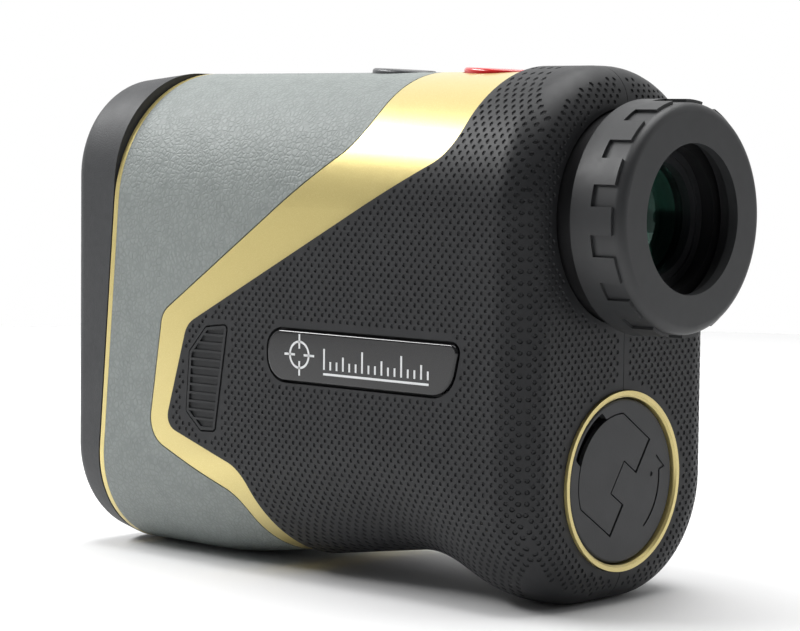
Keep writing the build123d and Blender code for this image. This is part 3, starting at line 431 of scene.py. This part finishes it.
side_cutters = dimple_cutters(
    (-math.pi / 2, 0, 0), (0, -0.04, 0), (0, 1, 0),
    {"normal": [("Y", -1.0, 0.11), ("X", -1.0, -0.62)], "behind": -0.04})
rear_cutters = dimple_cutters(
    (-math.pi / 2, 0, math.pi / 2), (0.06, 0, 0), (-1, 0, 0),
    {"normal": [("X", 1.0, 0.78)], "behind": 0.039})
pressed_grip = net.node(
    "GeometryNodeMeshBoolean", {"operation": "DIFFERENCE", "solver": "MANIFOLD"},
    net.node("GeometryNodeMergeByDistance", {}, rubber, Distance=weld_gap),
    net.node("GeometryNodeJoinGeometry", {}, [side_cutters, rear_cutters]))
left_dimpled = net.mesh("left_dimpled_grip", pressed_grip, net["Finish"])
right_dimpled = left_dimpled.copy()
right_dimpled.transform(Matrix.Scale(-1, 4, (0, 1, 0)))
right_dimpled.flip_normals()


def keep_smooth_shading(mesh, smooth):
    """Give the faces left over from a smooth surface its own normals, and leave the cut faces flat."""
    surface = BVHTree.FromPolygons(
        [vertex.co for vertex in smooth.vertices], [list(face.vertices) for face in smooth.polygons])
    normals = [Vector(corner.vector) for corner in smooth.corner_normals]
    mesh.shade_smooth()
    shaded = [None] * len(mesh.loops)
    for face in mesh.polygons:
        middle, flat = face.center, face.normal
        for corner in face.loop_indices:
            point = mesh.vertices[mesh.loops[corner].vertex_index].co.lerp(middle, corner_inset)
            near, facing, index, gap = surface.find_nearest(point)
            shaded[corner] = flat
            if gap < surface_gap and facing.dot(flat) > surface_turn:
                below = smooth.polygons[index]
                corners = [smooth.vertices[vertex].co for vertex in below.vertices]
                weights = interpolate.poly_3d_calc(corners, near)
                blended = Vector((0, 0, 0))
                for share, loop in zip(weights, below.loop_indices):
                    blended += share * normals[loop]
                shaded[corner] = blended.normalized()
    mesh.normals_split_custom_set(shaded)


for side, mesh in (("left", left_dimpled), ("right", right_dimpled)):
    keep_smooth_shading(mesh, node_objects[side + "_grip"].data)
    dimpled = bpy.data.objects.new(side + "_dimpled_grip", mesh)
    bpy.context.scene.collection.objects.link(dimpled)
    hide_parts(side + "_grip")
    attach(dimpled, "body")

# ---- Grip inserts --------------------------------------------------------------------------------
# Ribbed thumb pads in a smoother rubber, pressed into pockets at the front of each grip.
soft_rubber = Finish("soft_rubber", (0.03, 0.03, 0.03), 0.55, Specular_IOR_Level=0.32)
soft_rubber.set("Base Color", soft_rubber.mix(
    soft_rubber.noise(300, 4), (0.020, 0.021, 0.022), (0.030, 0.031, 0.033)))
soft_rubber.set("Roughness", 0.46 + 0.18 * soft_rubber.noise(800, 4))
soft_rubber.relief(soft_rubber.noise(5200, 3), 0.00004, 0.35)
dress(soft_rubber, "left_grip_insert", "right_grip_insert")

# ---- Side badges ---------------------------------------------------------------------------------
# Domed glossy plates bonded into deep pockets. They carry a plain printed sight mark and range
# scale in white ink.
badge_ink_thick = 0.00003
ink_line = 0.00032
sight_centre = (-0.0005, 0.0336)
sight_radius = 0.0019
sight_bar = 0.0030
scale_start = 0.0045
scale_pitch = 0.00125
scale_marks = 17
scale_foot = 0.0318
mark_heights = (0.0030, 0.0012, 0.0012, 0.0020, 0.0012, 0.0012)
sight_gap = 0.0009
underline_drop = 0.0008
ring_steps = 40

badge_gloss = Finish(
    "badge_gloss", (0.01, 0.01, 0.01), 0.08, Specular_IOR_Level=0.25, Coat_Weight=0.5, Coat_Roughness=0.03)
badge_gloss.set("Base Color", badge_gloss.mix(
    badge_gloss.noise(250), (0.008, 0.008, 0.009), (0.014, 0.014, 0.015)))
badge_gloss.set("Roughness", 0.07 + 0.05 * badge_gloss.noise(1200, 4))
dress(badge_gloss, "left_name_badge", "right_name_badge")

white_ink = Finish("white_ink", (0.8, 0.8, 0.8), 0.35)
white_ink.set("Base Color", white_ink.mix(white_ink.noise(3000), (0.74, 0.75, 0.76), (0.82, 0.83, 0.84)))


def ink_bar(low, high):
    """The four corners of one printed bar, from its low corner and its high one."""
    (x0, z0), (x1, z1) = low, high
    return [(x0, z0), (x1, z0), (x1, z1), (x0, z1)]


sight_x, sight_z = sight_centre
half_line = ink_line / 2
ink_faces = []
for step in range(ring_steps):
    turns = [2 * math.pi * (step + ahead) / ring_steps for ahead in (0, 1)]
    inner, outer = sight_radius - half_line, sight_radius + half_line
    ink_faces.append([
        (sight_x + radius * math.cos(turn), sight_z + radius * math.sin(turn))
        for radius, turn in ((inner, turns[0]), (outer, turns[0]), (outer, turns[1]), (inner, turns[1]))])
for reach_low, reach_high in ((-sight_bar, -sight_gap), (sight_gap, sight_bar)):
    ink_faces.append(ink_bar(
        (sight_x + reach_low, sight_z - half_line), (sight_x + reach_high, sight_z + half_line)))
    ink_faces.append(ink_bar(
        (sight_x - half_line, sight_z + reach_low), (sight_x + half_line, sight_z + reach_high)))
for mark in range(scale_marks):
    mark_x = scale_start + mark * scale_pitch
    height = mark_heights[mark % len(mark_heights)]
    ink_faces.append(ink_bar((mark_x - half_line, scale_foot), (mark_x + half_line, scale_foot + height)))
underline_z = scale_foot - underline_drop
scale_end = scale_start + (scale_marks - 1) * scale_pitch
ink_faces.append(ink_bar(
    (scale_start - half_line, underline_z), (scale_end + half_line, underline_z + ink_line)))

badge_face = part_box("right_name_badge")[1].y
for side, sign in (("left", -1), ("right", 1)):
    ink_mesh = bpy.data.meshes.new(side + "_badge_print")
    corners, faces = [], []
    for face in ink_faces:
        first = len(corners)
        count = len(face)
        for level in (badge_face - badge_ink_thick, badge_face + badge_ink_thick):
            corners += [(x, sign * level, z) for x, z in face]
        faces.append(tuple(range(first, first + count)))
        faces.append(tuple(reversed(range(first + count, first + 2 * count))))
        for corner in range(count):
            after = (corner + 1) % count
            faces.append((first + after, first + corner, first + count + corner, first + count + after))
    ink_mesh.from_pydata(corners, [], faces)
    if sign < 0:
        ink_mesh.flip_normals()
    ink_mesh.materials.append(white_ink.material)
    printed = bpy.data.objects.new(side + "_badge_print", ink_mesh)
    bpy.context.scene.collection.objects.link(printed)
    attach(printed, "body")

# ---- Push buttons --------------------------------------------------------------------------------
# Two oval keys on top, moulded in colour right through: a glossy red one to fire and a grey one to
# change mode.
red_button = Finish("red_button", (0.6, 0.02, 0.02), 0.15, Coat_Weight=0.6, Coat_Roughness=0.05)
red_button.set("Base Color", red_button.mix(
    red_button.noise(400), (0.58, 0.010, 0.012), (0.68, 0.018, 0.018)))
red_button.set("Roughness", 0.16 + 0.08 * red_button.noise(900, 4))
dress(red_button, "fire_button")

grey_button = Finish("grey_button", (0.07, 0.07, 0.07), 0.3)
grey_button.set("Base Color", grey_button.mix(
    grey_button.noise(400), (0.060, 0.062, 0.066), (0.085, 0.088, 0.092)))
grey_button.set("Roughness", 0.26 + 0.12 * grey_button.noise(900, 4))
grey_button.relief(grey_button.noise(4000), 0.00003, 0.3)
dress(grey_button, "mode_button")

# ---- Eyecup and focus ring -----------------------------------------------------------------------
# A soft moulded cup with castellations for the fingers, pulled over the plastic ring that turns on
# the neck.
cup_rubber = Finish("cup_rubber", (0.03, 0.03, 0.03), 0.5, Specular_IOR_Level=0.4)
cup_rubber.set("Base Color", cup_rubber.mix(
    cup_rubber.noise(220, 4), (0.024, 0.025, 0.026), (0.036, 0.037, 0.039)))
cup_rubber.set("Roughness", 0.40 + 0.16 * cup_rubber.noise(600, 4))
cup_rubber.relief(cup_rubber.noise(4600, 3), 0.00003, 0.3)
dress(cup_rubber, "eyecup")

housing_plastic = Finish("housing_plastic", (0.02, 0.02, 0.02), 0.45)
housing_plastic.set("Base Color", housing_plastic.mix(
    housing_plastic.noise(300), (0.014, 0.014, 0.015), (0.022, 0.022, 0.024)))
housing_plastic.set("Roughness", 0.40 + 0.2 * housing_plastic.noise(700, 4))
housing_plastic.relief(housing_plastic.noise(3800, 4), 0.00006, 0.4)
dress(housing_plastic, "focus_ring", "left_housing", "right_housing", "prism_housing", "battery_tube")

# ---- Metal tubes and chassis ---------------------------------------------------------------------
# Turned and die-cast aluminium, anodised or painted matt black so that no stray light reaches the eye.
black_aluminium = Finish("black_aluminium", (0.02, 0.02, 0.02), 0.45, Metallic=0.6)
turning_marks = black_aluminium.noise(900, 2, stretch=(6, 0.15, 0.15))
black_aluminium.set("Base Color", black_aluminium.mix(
    turning_marks, (0.014, 0.014, 0.015), (0.024, 0.024, 0.026)))
black_aluminium.set("Roughness", 0.36 + 0.2 * turning_marks)
black_aluminium.relief(turning_marks, 0.00002, 0.4)
dress(black_aluminium, "eyepiece_tube", "optical_chassis", "objective_barrel", "objective_retainer",
      "receiver_barrel", "receiver_retainer")

cell_aluminium = Finish("cell_aluminium", (0.1, 0.1, 0.1), 0.35, Metallic=0.8)
cell_marks = cell_aluminium.noise(1200, 2, stretch=(6, 0.15, 0.15))
cell_aluminium.set("Base Color", cell_aluminium.mix(
    cell_marks, (0.045, 0.047, 0.050), (0.075, 0.078, 0.082)))
cell_aluminium.set("Roughness", 0.30 + 0.15 * cell_marks)
dress(cell_aluminium, "lens_cell", "cell_retainer")

# ---- Lenses, prisms and display ------------------------------------------------------------------
# Polished glass. The lenses have a green multilayer coating, which tints what they reflect and pass.
lens_glass = Finish("coated_glass", (0.4, 0.8, 0.6), 0.02, Transmission_Weight=1.0, IOR=1.52)
lens_glass.set("Specular Tint", (0.45, 1.0, 0.80))
lens_glass.set("Base Color", lens_glass.mix(
    lens_glass.noise(120), (0.11, 0.22, 0.19), (0.15, 0.28, 0.24)))
lens_glass.set("Roughness", 0.01 + 0.02 * lens_glass.noise(500))
dress(lens_glass, "objective_lens", "receiver_lens", "eye_lens", "field_lens")

prism_glass = Finish("prism_glass", (0.9, 0.95, 0.95), 0.02, Transmission_Weight=1.0, IOR=1.57)
prism_glass.set("Roughness", 0.01 + 0.02 * prism_glass.noise(500))
prism_glass.set("Base Color", prism_glass.mix(
    prism_glass.noise(100), (0.86, 0.92, 0.92), (0.92, 0.96, 0.96)))
dress(prism_glass, "roof_prism", "beam_splitter_prism")

display_glass = Finish("display_glass", (0.1, 0.12, 0.14), 0.05, Transmission_Weight=0.5, IOR=1.5)
display_glass.set("Base Color", display_glass.mix(
    display_glass.noise(900), (0.08, 0.10, 0.12), (0.14, 0.17, 0.19)))
display_glass.set("Roughness", 0.03 + 0.05 * display_glass.noise(1500))
dress(display_glass, "display")

# ---- Battery cap ---------------------------------------------------------------------------------
# A turned-in cap of glass-filled plastic with a folding finger flap on a steel pin, and its O-ring.
cap_plastic = Finish("cap_plastic", (0.03, 0.03, 0.03), 0.35, Specular_IOR_Level=0.35)
cap_plastic.set("Base Color", cap_plastic.mix(
    cap_plastic.noise(260, 4), (0.024, 0.025, 0.027), (0.038, 0.039, 0.042)))
cap_plastic.set("Roughness", 0.30 + 0.16 * cap_plastic.noise(500, 4))
cap_plastic.relief(cap_plastic.noise(3000, 4), 0.00003, 0.35)
dress(cap_plastic, "cap_body", "cap_flap")

seal_rubber = Finish("seal_rubber", (0.015, 0.015, 0.015), 0.5)
seal_rubber.set("Roughness", 0.42 + 0.2 * seal_rubber.noise(1500))
seal_rubber.set("Base Color", seal_rubber.mix(
    seal_rubber.noise(500), (0.012, 0.012, 0.013), (0.020, 0.020, 0.021)))
dress(seal_rubber, "cap_seal", "focus_seal", "button_seal")

# ---- Battery, spring and contacts ----------------------------------------------------------------
# A lithium cell in a plain printed sleeve between a bright coil spring and a plated contact.
battery_wrap = Finish("battery_wrap", (0.7, 0.7, 0.7), 0.3, Coat_Weight=0.4)
stripe = (battery_wrap.along("X") * 1000).above(29.0, 0.05)
sleeve_tone = battery_wrap.mix(battery_wrap.noise(300), (0.60, 0.61, 0.63), (0.68, 0.69, 0.71))
battery_wrap.set("Base Color", battery_wrap.mix(stripe, sleeve_tone, (0.10, 0.22, 0.42)))
battery_wrap.set("Roughness", 0.24 + 0.12 * battery_wrap.noise(800))
dress(battery_wrap, "battery")

spring_steel = Finish("spring_steel", (0.6, 0.6, 0.62), 0.2, Metallic=1.0)
spring_steel.set("Roughness", 0.16 + 0.14 * spring_steel.noise(2500))
spring_steel.set("Base Color", spring_steel.mix(
    spring_steel.noise(700), (0.58, 0.58, 0.60), (0.68, 0.68, 0.70)))
dress(spring_steel, "battery_spring")

plated_contact = Finish("plated_contact", (0.8, 0.65, 0.35), 0.25, Metallic=1.0)
plated_contact.set("Roughness", 0.20 + 0.15 * plated_contact.noise(2000))
plated_contact.set("Base Color", plated_contact.mix(
    plated_contact.noise(600), (0.74, 0.60, 0.30), (0.84, 0.70, 0.40)))
dress(plated_contact, "cap_contact", "laser_diode")

# ---- Screws and pins -----------------------------------------------------------------------------
# Zinc-plated steel fasteners, slightly dulled by handling.
plated_steel = Finish("plated_steel", (0.5, 0.5, 0.52), 0.35, Metallic=1.0)
plated_steel.set("Roughness", 0.28 + 0.2 * plated_steel.noise(1800, 4))
plated_steel.set("Base Color", plated_steel.mix(
    plated_steel.noise(900), (0.46, 0.46, 0.48), (0.58, 0.58, 0.60)))
dress(plated_steel, "housing_screws", "bezel_screws", "board_screws", "cap_hinge_pin", "photodiode")

# ---- Electronics ---------------------------------------------------------------------------------
# Green-masked boards with faint copper tracks under the mask, black chips, switches and an amber
# flexible lead.
circuit_board = Finish("circuit_board", (0.02, 0.15, 0.07), 0.35)
tracks = circuit_board.cells(420, "DISTANCE_TO_EDGE").above(0.06, 0.02)
circuit_board.set("Base Color", circuit_board.mix(tracks, (0.035, 0.20, 0.09), (0.012, 0.11, 0.05)))
circuit_board.set("Roughness", 0.30 + 0.15 * circuit_board.noise(900))
circuit_board.relief(tracks, 0.00002, 0.3)
dress(circuit_board, "main_board", "button_board", "laser_board", "receiver_board")

chip_epoxy = Finish("chip_epoxy", (0.02, 0.02, 0.02), 0.5)
chip_epoxy.set("Roughness", 0.42 + 0.2 * chip_epoxy.noise(3000, 4))
chip_epoxy.set("Base Color", chip_epoxy.mix(
    chip_epoxy.noise(1200), (0.015, 0.015, 0.016), (0.028, 0.028, 0.030)))
dress(chip_epoxy, "board_chips", "tact_switches")

flex_film = Finish("flex_film", (0.5, 0.25, 0.05), 0.3)
film_lines = flex_film.node(
    "ShaderNodeTexWave", {"bands_direction": "X"}, Vector=flex_film.place(), Scale=400.0)
flex_film.set("Base Color", flex_film.mix(film_lines, (0.34, 0.15, 0.03), (0.52, 0.26, 0.06)))
flex_film.set("Roughness", 0.26 + 0.12 * flex_film.noise(900))
dress(flex_film, "flex_cable")
